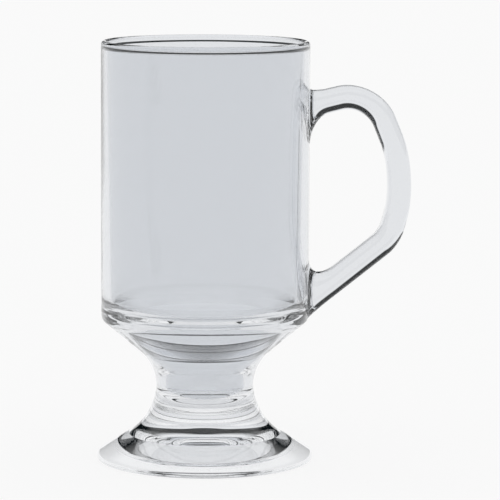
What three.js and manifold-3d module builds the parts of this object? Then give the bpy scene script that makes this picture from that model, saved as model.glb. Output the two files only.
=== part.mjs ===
import * as THREE from 'three';
import { mergeVertices } from 'three/addons/utils/BufferGeometryUtils.js';
import loadManifold from 'manifold-3d';

// Footed glass mug: a straight bowl with a funnel floor, a short stem, a coned foot and a side handle.
// Lengths are in millimetres and slopes in degrees. +Z is up and the mug stands on Z = 0.

// Bowl
const bowlRadius = 34.6; // outside of the straight wall
const bowlDepth = 92.5; // straight wall, from the shoulder up to the rim
const rimThickness = 2.2; // glass at the rim
const rimRise = 2; // height of the rounded rim
const wallThickness = 3.1; // straight wall at the shoulder, and round the well
const shoulderRise = 22.3; // from the waist up to the shoulder
const shoulderRound = 2.5; // outer edge of the shoulder
const funnelCurve = 14.7; // hollow curve from the funnel into the waist
const shelfRise = 4.5; // inner corner of wall and shelf, above the shoulder
const shelfWidth = 6.5; // sloping shelf of thick glass inside the shoulder, from the wall to its ridge
const shelfFall = 3; // how far the shelf falls to its ridge
const floorRound = 5; // inner corner between wall and shelf
const ridgeRound = 4.3; // ridge where the shelf breaks into the funnel
const waistWall = 2.7; // thinnest glass, between the funnel and the waist
const mouthRound = 8; // from the funnel into the well
const wellDepth = 6.4; // well below the waist
const wellRound = 6; // corner of the well's floor
const wellFloor = 3; // glass under the well

// Stem and foot
const waistHeight = 25.2; // narrowest place, above the table
const waistRadius = 16.2;
const footRadius = 36;
const footSlope = 31; // top of the foot, above level
const footEdgeHeight = 2.5; // where the slope would reach the foot's edge
const footTopRound = 1.8; // upper edge of the foot
const footBaseRound = 1.1; // lower edge of the foot
const hollowRadius = 27; // hollow under the foot
const hollowDepth = 5.5;

// Handle
const handleThickness = 8; // seen from the side
const handleWidth = 11; // seen from the end
const handleEdgeRound = 2.8;
const upperRootDrop = 22; // upper root, below the rim
const elbowOut = 20.5; // corner above the upper bend, out from the wall
const elbowRise = 5.9; // and above the upper root
const elbowBend = 13;
const bulgeOut = 32.3; // furthest corner, out from the wall
const bulgeRise = 40.8; // and above the lower root
const bulgeBend = 40;
const bendOut = 26.6; // corner below the lower bend, out from the wall
const bendRise = 20.5; // and above the lower root
const lowerBend = 12;
const lowerRootRise = 6.7; // lower root, above the shoulder
const rootSpread = 8; // half width of the roots on the wall
const rootSwell = 6; // how far the roots swell off the wall
const rootNeck = 0.35; // narrow end of a root, as a share of its size on the wall
const upperRootReach = 10.5; // half height of the upper root
const upperRootSag = 3.5; // its middle, below the arm
const lowerRootReach = 9.5; // half height of the lower root
const lowerRootLift = 4.5; // its middle, above the arm
const weldGap = 0.3; // seam between handle and wall

// Fineness of the round surfaces
const turnSegments = 48;
const arcStep = 12; // degrees
const handleSteps = 40;
const edgeSegments = 3;
const rootSegments = 24;

// Heights that follow from the sizes above
const shoulderHeight = waistHeight + shoulderRise;
const mugHeight = shoulderHeight + bowlDepth;
const wellHeight = waistHeight - wellDepth;
const stemTop = wellHeight - wellFloor;
const upperRootHeight = mugHeight - upperRootDrop;
const lowerRootHeight = shoulderHeight + lowerRootRise;

// Points (radius, height) along an arc, from one angle to another in radians
function arcPoints(centre, radius, from, to, radiusUp = radius) {
  const steps = 2 * Math.ceil(Math.abs(to - from) / THREE.MathUtils.degToRad(2 * arcStep));
  return Array.from({ length: steps + 1 }, (_, i) => {
    const angle = from + ((to - from) * i) / steps;
    return new THREE.Vector2(centre.x + radius * Math.cos(angle), centre.y + radiusUp * Math.sin(angle));
  });
}

// Arc that rounds the corner between two straight runs
function roundCorner(before, corner, after, radius) {
  const back = before.clone().sub(corner).normalize();
  const ahead = after.clone().sub(corner).normalize();
  const half = Math.acos(THREE.MathUtils.clamp(back.dot(ahead), -1, 1)) / 2;
  const turn = Math.sign(back.cross(ahead)) * (Math.PI - 2 * half);
  const centre = back.clone().add(ahead).setLength(radius / Math.sin(half)).add(corner);
  const start = back.multiplyScalar(radius / Math.tan(half)).add(corner).sub(centre).angle();
  return arcPoints(centre, radius, start, start - turn);
}

// Curve above the waist, touched by a straight funnel that comes down from the shoulder
function upperCurve() {
  const centre = new THREE.Vector2(waistRadius + funnelCurve, waistHeight);
  const inward = centre.x - bowlRadius;
  const lean = Math.atan2(inward, shoulderRise);
  const slope = lean + Math.acos(funnelCurve / Math.hypot(inward, shoulderRise));
  return { centre, top: slope + Math.PI / 2 };
}

// Curve below the waist, which runs out on the slope of the foot
function lowerCurve() {
  const slope = THREE.MathUtils.degToRad(footSlope);
  const drop = (waistHeight - footEdgeHeight) * Math.cos(slope);
  const spread = (footRadius - waistRadius) * Math.sin(slope);
  const radius = (drop - spread) / (1 - Math.sin(slope));
  const centre = new THREE.Vector2(waistRadius + radius, waistHeight);
  const seam = Math.PI + Math.asin((waistHeight - stemTop) / radius);
  return { centre, radius, seam, end: 1.5 * Math.PI - slope };
}

// Solid of revolution about Z; the outline goes up the outside and both its ends are on the axis
function turned(outline) {
  return new THREE.LatheGeometry(outline, turnSegments).rotateX(Math.PI / 2);
}

// Inner faces, down from the straight wall: the shelf, a steep funnel that clears the waist, and the well
function cavityOutline(wallTop, waistCentre) {
  const innerRadius = bowlRadius - wallThickness;
  const wellRadius = waistRadius - wallThickness;
  const floorCorner = new THREE.Vector2(innerRadius, shoulderHeight + shelfRise);
  const ridge = new THREE.Vector2(innerRadius - shelfWidth, floorCorner.y - shelfFall);
  const across = waistCentre.clone().sub(ridge);
  const steep = across.angle() - Math.asin((funnelCurve + waistWall) / across.length());
  const run = new THREE.Vector2(Math.cos(steep), Math.sin(steep));
  const mouth = run.clone().multiplyScalar((wellRadius - ridge.x) / run.x).add(ridge);
  const wellCorner = new THREE.Vector2(wellRadius, wellHeight);
  const wellMiddle = new THREE.Vector2(0, wellHeight);
  return [
    ...roundCorner(wallTop, floorCorner, ridge, floorRound),
    ...roundCorner(floorCorner, ridge, mouth, ridgeRound),
    ...roundCorner(ridge, mouth, wellCorner, mouthRound),
    ...roundCorner(mouth, wellCorner, wellMiddle, wellRound),
    wellMiddle,
  ];
}

function bowlShape() {
  const upper = upperCurve();
  const lower = lowerCurve();
  const shoulder = new THREE.Vector2(bowlRadius, shoulderHeight);
  const rimCentre = new THREE.Vector2(bowlRadius - rimThickness / 2, mugHeight - rimRise);
  const rim = arcPoints(rimCentre, rimThickness / 2, 0, Math.PI, rimRise);
  const waistOutside = arcPoints(upper.centre, funnelCurve, Math.PI, upper.top);
  return turned([
    new THREE.Vector2(0, stemTop),
    ...arcPoints(lower.centre, lower.radius, lower.seam, Math.PI),
    ...waistOutside.slice(1),
    ...roundCorner(waistOutside.at(-1), shoulder, rim[0], shoulderRound),
    ...rim,
    ...cavityOutline(rim.at(-1), upper.centre),
  ]);
}

function stemShape() {
  const lower = lowerCurve();
  const side = arcPoints(lower.centre, lower.radius, lower.end, lower.seam);
  const bottom = new THREE.Vector2(0, side[0].y);
  const top = new THREE.Vector2(0, stemTop);
  return turned([bottom, ...side, top]);
}

function footShape() {
  const lower = lowerCurve();
  const seamEdge = arcPoints(lower.centre, lower.radius, lower.end, lower.seam)[0];
  const seamMiddle = new THREE.Vector2(0, seamEdge.y);
  const baseCorner = new THREE.Vector2(footRadius, 0);
  const topCorner = new THREE.Vector2(footRadius, footEdgeHeight);
  const standInside = new THREE.Vector2(hollowRadius, 0);
  const domeRadius = (hollowRadius ** 2 + hollowDepth ** 2) / (2 * hollowDepth);
  const domeCentre = new THREE.Vector2(0, hollowDepth - domeRadius);
  const domeEdge = Math.PI / 2 - Math.asin(hollowRadius / domeRadius);
  const dome = arcPoints(domeCentre, domeRadius, Math.PI / 2, domeEdge);
  dome[0].x = 0;
  return turned([
    ...dome,
    ...roundCorner(standInside, baseCorner, topCorner, footBaseRound),
    ...roundCorner(baseCorner, topCorner, seamEdge, footTopRound),
    seamEdge,
    seamMiddle,
  ]);
}

// Corners of the handle's middle line (out from the axis, height), from one end inside the wall to the other
function handleCorners() {
  const place = (out, height) => new THREE.Vector2(bowlRadius + out, height);
  return {
    start: place(-wallThickness, upperRootHeight),
    elbow: place(elbowOut, upperRootHeight + elbowRise),
    bulge: place(bulgeOut, lowerRootHeight + bulgeRise),
    bend: place(bendOut, lowerRootHeight + bendRise),
    end: place(-wallThickness, lowerRootHeight - wallThickness),
  };
}

function handleLine({ start, elbow, bulge, bend, end }) {
  const line = [
    start,
    ...roundCorner(start, elbow, bulge, elbowBend),
    ...roundCorner(elbow, bulge, bend, bulgeBend),
    ...roundCorner(bulge, bend, end, lowerBend),
    end,
  ];
  return new THREE.CatmullRomCurve3(line.map((point) => new THREE.Vector3(point.x, 0, point.y)));
}

// Flat band with rounded edges
function handleSection() {
  const x = handleWidth / 2 - handleEdgeRound;
  const y = handleThickness / 2 - handleEdgeRound;
  const quarter = Math.PI / 2;
  const section = new THREE.Shape();
  section.absarc(x, y, handleEdgeRound, 0, quarter);
  section.absarc(-x, y, handleEdgeRound, quarter, 2 * quarter);
  section.absarc(-x, -y, handleEdgeRound, 2 * quarter, 3 * quarter);
  section.absarc(x, -y, handleEdgeRound, 3 * quarter, 4 * quarter);
  return section;
}

// Swelling of hot glass where the handle is pressed on the wall: a flare, oval along the wall,
// which leans so that its narrow end is hidden in an arm that climbs from armStart to armCorner
function rootFlare(height, reach, armStart, armCorner) {
  const armSlope = (armCorner.y - armStart.y) / (armCorner.x - armStart.x);
  const neckHeight = armStart.y + (bowlRadius + rootSwell - armStart.x) * armSlope;
  const lean = new THREE.Matrix4().makeShear(0, (neckHeight - height) / rootSwell, 0, 0, 0, 0);
  const centre = new THREE.Vector2(1, rootSwell);
  const flare = arcPoints(centre, 1 - rootNeck, 1.5 * Math.PI, Math.PI, rootSwell);
  const inner = new THREE.Vector2(1, -wallThickness);
  const ends = [new THREE.Vector2(0, -wallThickness), new THREE.Vector2(0, rootSwell)];
  const root = new THREE.LatheGeometry([ends[0], inner, ...flare, ends[1]], rootSegments);
  root.rotateZ(-Math.PI / 2).scale(1, rootSpread, reach).applyMatrix4(lean);
  return root.translate(bowlRadius, 0, height);
}

function solidFrom(wasm, geometry) {
  const bare = geometry.clone();
  bare.deleteAttribute('normal');
  bare.deleteAttribute('uv');
  const merged = mergeVertices(bare);
  const vertProperties = new Float32Array(merged.attributes.position.array);
  const triVerts = new Uint32Array(merged.index.array);
  return new wasm.Manifold(new wasm.Mesh({ numProp: 3, vertProperties, triVerts }));
}

function geometryFrom(solid) {
  const mesh = solid.getMesh();
  const geometry = new THREE.BufferGeometry();
  geometry.setAttribute('position', new THREE.BufferAttribute(mesh.vertProperties, 3));
  geometry.setIndex(new THREE.BufferAttribute(mesh.triVerts, 1));
  geometry.computeVertexNormals();
  return geometry;
}

// Swept band with a swollen root at each end, hollowed to lie against the wall
async function handleShape() {
  const wasm = await loadManifold();
  wasm.setup();
  const corners = handleCorners();
  const options = { steps: handleSteps, curveSegments: edgeSegments, extrudePath: handleLine(corners) };
  const band = new THREE.ExtrudeGeometry(handleSection(), options);
  const upperMiddle = upperRootHeight - upperRootSag;
  const lowerMiddle = lowerRootHeight + lowerRootLift;
  const upperRoot = rootFlare(upperMiddle, upperRootReach, corners.start, corners.elbow);
  const lowerRoot = rootFlare(lowerMiddle, lowerRootReach, corners.end, corners.bend);
  const wall = new THREE.CylinderGeometry(bowlRadius + weldGap, bowlRadius + weldGap, mugHeight, 2 * turnSegments);
  wall.rotateX(Math.PI / 2).translate(0, 0, mugHeight / 2);
  const whole = solidFrom(wasm, band).add(solidFrom(wasm, upperRoot)).add(solidFrom(wasm, lowerRoot));
  return geometryFrom(whole.subtract(solidFrom(wasm, wall)));
}

function glassPiece(name, geometry, color) {
  const glass = new THREE.MeshStandardMaterial({ color, roughness: 0.04, metalness: 0 });
  glass.transparent = true;
  glass.opacity = 0.35;
  const piece = new THREE.Mesh(geometry, glass);
  piece.name = name;
  return piece;
}

const handleGeometry = await handleShape();
handleGeometry.computeBoundingBox();

const mug = new THREE.Group();
mug.add(glassPiece('bowl', bowlShape(), 0xd3d8dd));
mug.add(glassPiece('stem', stemShape(), 0xcdd5d8));
mug.add(glassPiece('foot', footShape(), 0xd6dadd));
mug.add(glassPiece('handle', handleGeometry, 0xc2c7cf));

// The origin is below the middle of the whole mug, handle included
mug.position.x = (footRadius - handleGeometry.boundingBox.max.x) / 2;

const footedMug = new THREE.Group();
footedMug.add(mug);
export default footedMug;
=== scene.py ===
import math

import bmesh
import bpy
from mathutils import Matrix, Vector


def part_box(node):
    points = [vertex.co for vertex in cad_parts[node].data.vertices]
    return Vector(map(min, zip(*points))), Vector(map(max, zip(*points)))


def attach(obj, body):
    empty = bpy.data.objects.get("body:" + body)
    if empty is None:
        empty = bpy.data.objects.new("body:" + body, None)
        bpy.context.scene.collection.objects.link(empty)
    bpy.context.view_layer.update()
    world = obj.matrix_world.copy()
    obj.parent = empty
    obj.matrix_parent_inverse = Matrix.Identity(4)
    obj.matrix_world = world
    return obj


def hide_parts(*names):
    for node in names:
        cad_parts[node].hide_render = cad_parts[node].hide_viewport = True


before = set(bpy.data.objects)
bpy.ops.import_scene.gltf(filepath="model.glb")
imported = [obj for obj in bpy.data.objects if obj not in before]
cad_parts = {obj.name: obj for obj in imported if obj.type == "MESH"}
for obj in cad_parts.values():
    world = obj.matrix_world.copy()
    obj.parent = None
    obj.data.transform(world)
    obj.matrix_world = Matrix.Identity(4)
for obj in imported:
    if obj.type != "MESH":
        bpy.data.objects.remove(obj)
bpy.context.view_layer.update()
weldDistance = 0.002  # millimetres within which points are one
mm = 0.001  # the script's lengths are in millimetres, Blender's in metres

# Places taken from the frame
bowlLow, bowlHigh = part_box("bowl")
stemLow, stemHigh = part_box("stem")
footLow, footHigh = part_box("foot")
axisX = (bowlLow.x + bowlHigh.x) / 2 / mm  # the mug's own axis; the frame's origin is under the whole mug
bowlRadius = (bowlHigh.x - bowlLow.x) / 2 / mm
rimHeight = bowlHigh.z / mm
footRadius = (footHigh.x - footLow.x) / 2 / mm
bowlSeam = stemHigh.z / mm  # level seam between bowl and stem
footSeam = stemLow.z / mm  # level seam between stem and foot

scene = bpy.context.scene
scene.view_settings.view_transform = "Standard"


def hexToLinear(code):
    parts = [int(code[i:i + 2], 16) / 255 for i in (0, 2, 4)]
    return [p / 12.92 if p <= 0.04045 else ((p + 0.055) / 1.055) ** 2.4 for p in parts] + [1]


def addNode(tree, kind, settings=None, links=None):
    # settings: attributes and input values by name; links: input name to an output socket
    node = tree.nodes.new(kind)
    for name, value in (settings or {}).items():
        if isinstance(name, int) or name in node.inputs:
            node.inputs[name].default_value = value
        else:
            setattr(node, name, value)
    for name, socket in (links or {}).items():
        tree.links.new(socket, node.inputs[name])
    return node


def newMaterial(name):
    material = bpy.data.materials.new(name)
    material.use_nodes = True
    material.node_tree.nodes.clear()
    return material, material.node_tree


# Clear soda-lime glass, pressed and fire-polished: smooth, strongly refracting, a faint cool grey
glassLook = {
    "tint": "e6e8eb",
    "ior": 1.52,
    "roughness": 0.0,
    "waveAcross": 24.0,  # millimetres from one shallow wave of the pressed surface to the next
    "waveUp": 60.0,
    "waveDepth": 0.06,
}


def sodaLimeGlass():
    material, tree = newMaterial("soda_lime_glass")
    place = addNode(tree, "ShaderNodeTexCoord")
    across, up = 1 / (glassLook["waveAcross"] * mm), 1 / (glassLook["waveUp"] * mm)
    stretched = addNode(tree, "ShaderNodeMapping", {"Scale": (across, across, up)},
                        {"Vector": place.outputs["Object"]})
    wave = addNode(tree, "ShaderNodeTexNoise", {"Scale": 1.0, "Detail": 1.0},
                   {"Vector": stretched.outputs["Vector"]})
    wavy = addNode(tree, "ShaderNodeBump", {"Strength": 1.0, "Distance": glassLook["waveDepth"] * mm},
                   {"Height": wave.outputs[0]})
    glass = addNode(tree, "ShaderNodeBsdfPrincipled", {
        "Base Color": hexToLinear(glassLook["tint"]),
        "Roughness": glassLook["roughness"],
        "IOR": glassLook["ior"],
        "Transmission Weight": 1.0,
    }, {"Normal": wavy.outputs["Normal"]})
    addNode(tree, "ShaderNodeOutputMaterial", links={"Surface": glass.outputs["BSDF"]})
    return material


def fusedSeam():
    # Where two pieces are welded the glass is continuous, so nothing is seen there
    material, tree = newMaterial("fused_glass_seam")
    seam = addNode(tree, "ShaderNodeBsdfPrincipled", {"Base Color": (1, 1, 1, 1), "Alpha": 0.0})
    addNode(tree, "ShaderNodeOutputMaterial", links={"Surface": seam.outputs["BSDF"]})
    return material


glassMaterial = sodaLimeGlass()
seamMaterial = fusedSeam()
glassSlot, seamSlot = 0, 1

# Outline of the turned glass, from the hollow under the foot up to the rim and down into the well
bodyOutline = {
    "hollowRadius": 27.0,
    "hollowDepth": 5.5,
    "footEdge": 2.5,
    "footSlope": 31.0,
    "waistRadius": 16.2,
    "waistHeight": 25.2,
    "shoulderHeight": 47.5,
    "funnelSlope": 40.0,
    "rimThickness": 2.1,
    "rimBead": 2.1,  # depth of the bead that fire polishing leaves along the rim
    "lipWall": 1.72,  # the wall's thickness under that bead
    "wall": 3.1,
    "shelfHeight": 52.2,  # where the inner wall would meet the shelf of thick glass inside the shoulder
    "ridgeRadius": 26.5,  # where the shelf breaks into the steep inner funnel
    "ridgeHeight": 49.3,
    "wellMouth": 28.7,
    "wellHeight": 18.8,
    "hollowCurve": 10.0,  # lengths that the rounding takes of each side of a corner
    "ringEdgeRound": 1.0,
    "footUnderRound": 1.1,
    "footEdgeRound": 1.0,
    "shoulderRound": 1.2,
    "beadHalf": 0.45,
    "beadRound": 0.25,
    "shelfRound": 2.9,
    "ridgeRound": 1.2,
    "wellMouthRound": 2.9,
    "wellFloorRound": 6.5,
    "turnSteps": 256,
    "roundSteps": 12,
    "curveSteps": 40,
    "stemSteps": 120,  # fine, so that the seam between bowl and stem doesn't show
}


def outlineCorners(o):
    # each corner: radius, height, length that its rounding takes of each side, steps of the rounding
    footTan = math.tan(math.radians(o["footSlope"]))
    funnel = math.radians(o["funnelSlope"])
    waist = o["waistRadius"]
    footMeets = o["footEdge"] + (footRadius - waist) * footTan
    funnelMeets = o["shoulderHeight"] - (bowlRadius - waist) * math.tan(funnel)
    wallIn = bowlRadius - o["wall"]
    wellIn = waist - o["wall"]
    beadLow = rimHeight - o["rimBead"]
    few, many, finest = o["roundSteps"], o["curveSteps"], o["stemSteps"]
    return [
        (0, o["hollowDepth"], 0, 0),
        (o["hollowRadius"] / 2, o["hollowDepth"], o["hollowCurve"], many),
        (o["hollowRadius"], 0, o["ringEdgeRound"], few),
        (footRadius, 0, o["footUnderRound"], few),
        (footRadius, o["footEdge"], o["footEdgeRound"], few),
        (waist, footMeets, o["waistHeight"] - footMeets, finest),
        (waist, funnelMeets, funnelMeets - o["waistHeight"], many),
        (bowlRadius, o["shoulderHeight"], o["shoulderRound"], few),
        (bowlRadius, rimHeight, o["rimThickness"] / 2, few),
        (bowlRadius - o["rimThickness"], rimHeight, o["rimThickness"] / 2, few),
        (bowlRadius - o["rimThickness"], beadLow + o["beadHalf"], o["beadRound"], few),
        (bowlRadius - o["lipWall"], beadLow - o["beadHalf"], o["beadRound"], few),
        (wallIn, o["shelfHeight"], o["shelfRound"], many),
        (o["ridgeRadius"], o["ridgeHeight"], o["ridgeRound"], many),
        (wellIn, o["wellMouth"], o["wellMouthRound"], many),
        (wellIn, o["wellHeight"], o["wellFloorRound"], many),
        (0, o["wellHeight"], 0, 0),
    ]


def turnedBody():
    bm = bmesh.new()
    corners = outlineCorners(bodyOutline)
    wire = [bm.verts.new((axisX + r, 0, z)) for r, z, _, _ in corners]
    for a, b in zip(wire, wire[1:]):
        bm.edges.new((a, b))
    for vert, (_, _, reach, steps) in zip(wire, corners):
        if reach:
            bmesh.ops.bevel(bm, geom=[vert], offset=reach, offset_type="OFFSET", segments=steps, profile=0.5,
                            affect="VERTICES", clamp_overlap=False, material=-1)
    bmesh.ops.remove_doubles(bm, verts=bm.verts, dist=weldDistance)
    bmesh.ops.spin(bm, geom=bm.verts[:] + bm.edges[:], cent=(axisX, 0, 0), axis=(0, 0, 1),
                   angle=2 * math.pi, steps=bodyOutline["turnSteps"], use_merge=True)
    bmesh.ops.remove_doubles(bm, verts=bm.verts, dist=weldDistance)
    bmesh.ops.recalc_face_normals(bm, faces=bm.faces)
    return bm


def slicedPiece(body, low, high):
    # the stretch of the turned body between two levels, closed with seam faces
    bm = body.copy()
    for level, side in ((low, -1), (high, 1)):
        if level is None:
            continue
        geom = bm.verts[:] + bm.edges[:] + bm.faces[:]
        cut = bmesh.ops.bisect_plane(bm, geom=geom, dist=0.0005, plane_co=(0, 0, level),
                                     plane_no=(0, 0, side), clear_outer=True)
        rim = [e for e in cut["geom_cut"] if isinstance(e, bmesh.types.BMEdge)]
        cap = bmesh.ops.edgeloop_fill(bm, edges=rim)
        for face in cap["faces"]:
            face.material_index = seamSlot
    bmesh.ops.recalc_face_normals(bm, faces=bm.faces)
    return bm


# Handle: a flat-sided band round five corners, its ends spread where they were pressed on the hot wall
handleForm = {
    "thickness": 8.0,
    "width": 11.0,
    "squareness": 3.3,  # 2 is an ellipse, higher is flatter on the faces with rounder edges
    # from the axis, height
    "corners": [(31.5, 118.0), (55.1, 123.9), (66.9, 95.0), (61.2, 74.7), (31.5, 51.1)],
    "bends": [13.0, 40.0, 12.0],
    "bendSteps": [28, 28, 24],
    "ringSteps": 112,
    "rootSteps": 14,
    "upperRoot": {"reach": 6.0, "above": 1.6, "below": 9.5, "spread": 1.4, "spreadReach": 2.2},
    "lowerRoot": {"reach": 8.0, "above": 9.0, "below": 0.6, "spread": 1.4, "spreadReach": 2.2},
    "onWall": 0.03,  # last section outside the wall, then the one inside it
    "intoWall": 1.7,
}


def handleLine(h):
    # the middle line between the two roots, as points from the axis and up, bends rounded
    bm = bmesh.new()
    wire = [bm.verts.new((r, 0, z)) for r, z in h["corners"]]
    for a, b in zip(wire, wire[1:]):
        bm.edges.new((a, b))
    for vert, radius, steps in zip(wire[1:-1], h["bends"], h["bendSteps"]):
        arms = [(e.other_vert(vert).co - vert.co).normalized() for e in vert.link_edges]
        turn = math.pi - arms[0].angle(arms[1])
        bmesh.ops.bevel(bm, geom=[vert], offset=radius * math.tan(turn / 2), offset_type="OFFSET",
                        segments=steps, profile=0.5, affect="VERTICES", clamp_overlap=False, material=-1)
    bmesh.ops.remove_doubles(bm, verts=bm.verts, dist=weldDistance)
    ends = [v for v in bm.verts if len(v.link_edges) == 1]
    line, last = [max(ends, key=lambda v: v.co.z)], None
    while True:
        onward = [e for e in line[-1].link_edges if e is not last]
        if not onward:
            break
        last = onward[0]
        line.append(last.other_vert(line[-1]))
    points = [v.co.copy() for v in line]
    bm.free()
    return points


def handleRing(bm, h, centre, along, upright=0.0, root=None, out=0.0):
    # one section of the band; upright leans it along the arm until it stands parallel to the wall
    ring = bmesh.ops.create_circle(bm, cap_ends=False, segments=h["ringSteps"], radius=1.0)["verts"]
    halfDeep, halfWide, power = h["thickness"] / 2, h["width"] / 2, 2 / h["squareness"]
    across = Vector((-along.z, 0, along.x))  # in the handle's plane, square to the band
    if across.z < 0 and root:
        across = -across
    lean = math.tan(upright)
    for vert in ring:
        deep = math.copysign(halfDeep * abs(vert.co.x) ** power, vert.co.x)
        wide = math.copysign(halfWide * abs(vert.co.y) ** power, vert.co.y)
        place = centre + across * deep
        if root:
            t = min(max(out / root["reach"], 0), 1)
            swell = 1 - math.sqrt(1 - (1 - t) ** 2)  # a round fillet, flat against the wall at out = 0
            place += along * (deep * lean)
            place.z += swell * (root["above"] if deep > 0 else root["below"]) * deep / halfDeep
            side = 1 - min(max(out / root["spreadReach"], 0), 1)
            wide *= 1 + (1 - math.sqrt(1 - side ** 2)) * root["spread"] / halfWide
            place.x += (math.sqrt(bowlRadius ** 2 - wide ** 2) - bowlRadius) * (1 - t)
        vert.co = (axisX + place.x, wide, place.z)
    return list(dict.fromkeys(e for v in ring for e in v.link_edges))


def bandHandle(h):
    bm = bmesh.new()
    points = handleLine(h)
    rings = []
    for root, a, b in ((h["upperRoot"], points[0], points[1]), (h["lowerRoot"], points[-1], points[-2])):
        along = (b - a).normalized()
        rootRings = []
        turns = [math.pi / 2 * i / h["rootSteps"] for i in range(h["rootSteps"])]
        outs = [root["reach"] * (1 - math.sin(turn)) for turn in turns]
        for out in outs + [h["onWall"], -h["intoWall"]]:
            centre = a + along * ((bowlRadius + out - a.x) / along.x)
            upright = math.atan2(along.z, along.x)
            rootRings.append(handleRing(bm, h, centre, along, upright, root, max(out, 0)))
        rings.append(rootRings)
    middle = []
    for before, here, after in zip(points, points[1:], points[2:]):
        along = ((here - before).normalized() + (after - here).normalized()).normalized()
        middle.append(handleRing(bm, h, here, along))
    chain = rings[0][::-1] + middle + rings[1]
    for a, b in zip(chain, chain[1:]):
        bmesh.ops.bridge_loops(bm, edges=a + b)
    for ends in (chain[0], chain[-1]):
        bmesh.ops.edgeloop_fill(bm, edges=ends)
    bmesh.ops.recalc_face_normals(bm, faces=bm.faces)
    return bm


def solidObject(name, bm, slot):
    for face in bm.faces:
        if slot is not None:
            face.material_index = slot
    mesh = bpy.data.meshes.new(name)
    bm.to_mesh(mesh)
    bm.free()
    for _ in range(3):
        mesh.materials.append(glassMaterial)
    solid = bpy.data.objects.new(name, mesh)
    scene.collection.objects.link(solid)
    return solid


def weldPair(bowlShape, handleShape):
    # fuses the two solids, then parts them again along the line where the handle meets the wall
    handleMark = 2
    wall = solidObject("wall_before_weld", bowlShape, None)
    band = solidObject("band_before_weld", handleShape, handleMark)
    fuse = wall.modifiers.new("weld", "BOOLEAN")
    fuse.operation = "UNION"
    fuse.solver = "MANIFOLD"
    fuse.object = band
    graph = bpy.context.evaluated_depsgraph_get()
    fused = bpy.data.meshes.new_from_object(wall.evaluated_get(graph))
    pair = []
    for keepsHandle in (False, True):
        bm = bmesh.new()
        bm.from_mesh(fused)
        drop = [f for f in bm.faces if (f.material_index == handleMark) != keepsHandle]
        bmesh.ops.delete(bm, geom=drop, context="FACES")
        for face in bm.faces:
            if keepsHandle:
                face.material_index = glassSlot
        rim = [e for e in bm.edges if len(e.link_faces) == 1]
        for face in bmesh.ops.edgeloop_fill(bm, edges=rim)["faces"]:
            face.material_index = seamSlot
        bmesh.ops.recalc_face_normals(bm, faces=bm.faces)
        pair.append(bm)
    for solid in (wall, band):
        bpy.data.objects.remove(solid)
    return pair


sharpAngle = 40  # degrees; edges sharper than this stay sharp


def addPiece(name, bm, node):
    bmesh.ops.scale(bm, vec=(mm, mm, mm), verts=bm.verts)
    mesh = bpy.data.meshes.new(name)
    bm.to_mesh(mesh)
    bm.free()
    for polygon in mesh.polygons:
        polygon.use_smooth = True
    mesh.set_sharp_from_angle(angle=math.radians(sharpAngle))
    piece = bpy.data.objects.new(name, mesh)
    scene.collection.objects.link(piece)
    mesh.materials.append(glassMaterial)
    mesh.materials.append(seamMaterial)
    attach(piece, "root")
    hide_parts(node)
    print("made", name, len(mesh.polygons), "faces")


body = turnedBody()
bowlShape, handleShape = weldPair(slicedPiece(body, bowlSeam, None), bandHandle(handleForm))
addPiece("glass_bowl", bowlShape, "bowl")
addPiece("glass_handle", handleShape, "handle")
addPiece("glass_stem", slicedPiece(body, footSeam, bowlSeam), "stem")
addPiece("glass_foot", slicedPiece(body, None, footSeam), "foot")
body.free()

# Camera at the photograph's angle: millimetres from the mug's axis, degrees, and the lens for a 36 mm sensor
cameraFit = {"back": 1044.6, "height": 206.9, "pitch": 7.447, "yaw": 0.819, "roll": 0.236, "lens": 227.8}


def addCamera(c):
    camera = bpy.data.objects.new("camera", bpy.data.cameras.new("camera"))
    camera.data.lens = c["lens"]
    camera.data.sensor_width = 36
    camera.data.clip_start = 0.05
    camera.data.clip_end = 100
    turn = Matrix.Rotation(-math.radians(c["yaw"]), 4, "Z")
    tilt = Matrix.Rotation(math.radians(90 - c["pitch"]), 4, "X")
    roll = Matrix.Rotation(math.radians(c["roll"]), 4, "Z")
    place = Matrix.Translation(Vector((axisX, -c["back"], c["height"])) * mm)
    camera.matrix_world = place @ turn @ tilt @ roll
    scene.collection.objects.link(camera)
    scene.camera = camera


addCamera(cameraFit)


# Studio: a white floor that runs into a white backdrop, a dark room above it and a wide white light overhead
studio = {
    "backdrop": "ffffff",
    "room": "0c1214",
    "overhead": "ffffff",
    "backdropTop": 4.0,  # degrees above the horizon
    "roomStart": 6.0,
    "roomEnd": 26.0,
    "overheadStart": 38.0,
    "paper": "f4f4f4",
    "floorSize": 40.0,
    "floorGlow": 0.86,
}


def fillRamp(ramp, stops):
    elements = ramp.color_ramp.elements
    while len(elements) < len(stops):
        elements.new(0.5)
    for element, (position, code) in zip(elements, stops):
        element.position = position
        element.color = hexToLinear(code)


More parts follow.
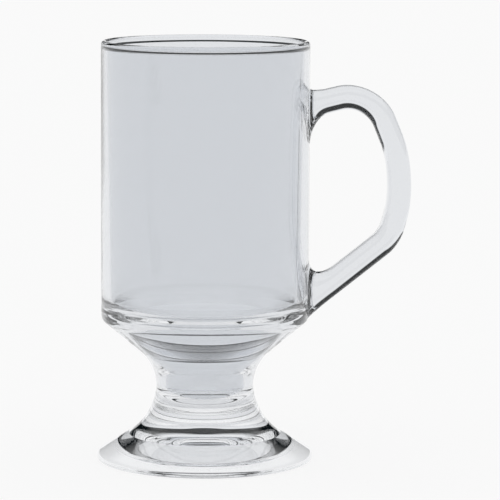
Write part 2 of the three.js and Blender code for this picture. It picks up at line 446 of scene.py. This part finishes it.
def addWorld(st):
    # one light for every kind of ray, so the glass shows the same backdrop as the camera
    world = bpy.data.worlds.new("studio")
    scene.world = world
    world.use_nodes = True
    tree = world.node_tree
    tree.nodes.clear()
    direction = addNode(tree, "ShaderNodeTexCoord")
    axes = addNode(tree, "ShaderNodeSeparateXYZ", links={"Vector": direction.outputs["Generated"]})
    ramp = addNode(tree, "ShaderNodeValToRGB", links={"Fac": axes.outputs["Z"]})
    edges = [("backdropTop", "backdrop"), ("roomStart", "room"), ("roomEnd", "room"),
             ("overheadStart", "overhead")]
    fillRamp(ramp, [(math.sin(math.radians(st[edge])), st[colour]) for edge, colour in edges])
    back = addNode(tree, "ShaderNodeBackground", {"Strength": 1.0}, {"Color": ramp.outputs["Color"]})
    addNode(tree, "ShaderNodeOutputWorld", links={"Surface": back.outputs["Background"]})


def addFloor(st):
    # white paper that keeps the shadow; camera and glass see the same white
    material, tree = newMaterial("white_paper_floor")
    path = addNode(tree, "ShaderNodeLightPath")
    byGlass = addNode(tree, "ShaderNodeMath", {"operation": "MAXIMUM"}, {
        0: path.outputs["Is Glossy Ray"], 1: path.outputs["Is Transmission Ray"]})
    byEye = addNode(tree, "ShaderNodeMath", {"operation": "MAXIMUM"}, {
        0: byGlass.outputs[0], 1: path.outputs["Is Camera Ray"]})
    glow = addNode(tree, "ShaderNodeMath", {"operation": "MULTIPLY", 1: st["floorGlow"]},
                   {0: byEye.outputs[0]})
    paper = addNode(tree, "ShaderNodeBsdfDiffuse", {"Color": hexToLinear(st["paper"])})
    white = addNode(tree, "ShaderNodeEmission", {"Color": (1, 1, 1, 1), "Strength": 1.0})
    whole = addNode(tree, "ShaderNodeMixShader",
                    links={"Fac": glow.outputs[0], 1: paper.outputs[0], 2: white.outputs[0]})
    addNode(tree, "ShaderNodeOutputMaterial", links={"Surface": whole.outputs[0]})
    bm = bmesh.new()
    bmesh.ops.create_grid(bm, x_segments=1, y_segments=1, size=st["floorSize"])
    mesh = bpy.data.meshes.new("floor")
    bm.to_mesh(mesh)
    bm.free()
    mesh.materials.append(material)
    floor = bpy.data.objects.new("floor", mesh)
    scene.collection.objects.link(floor)


addWorld(studio)
addFloor(studio)
print("studio set")
glassBounces = 32  # enough for light to find its way through foot and handle
scene.cycles.max_bounces = glassBounces
scene.cycles.transmission_bounces = glassBounces
scene.cycles.glossy_bounces = glassBounces
scene.cycles.transparent_max_bounces = glassBounces
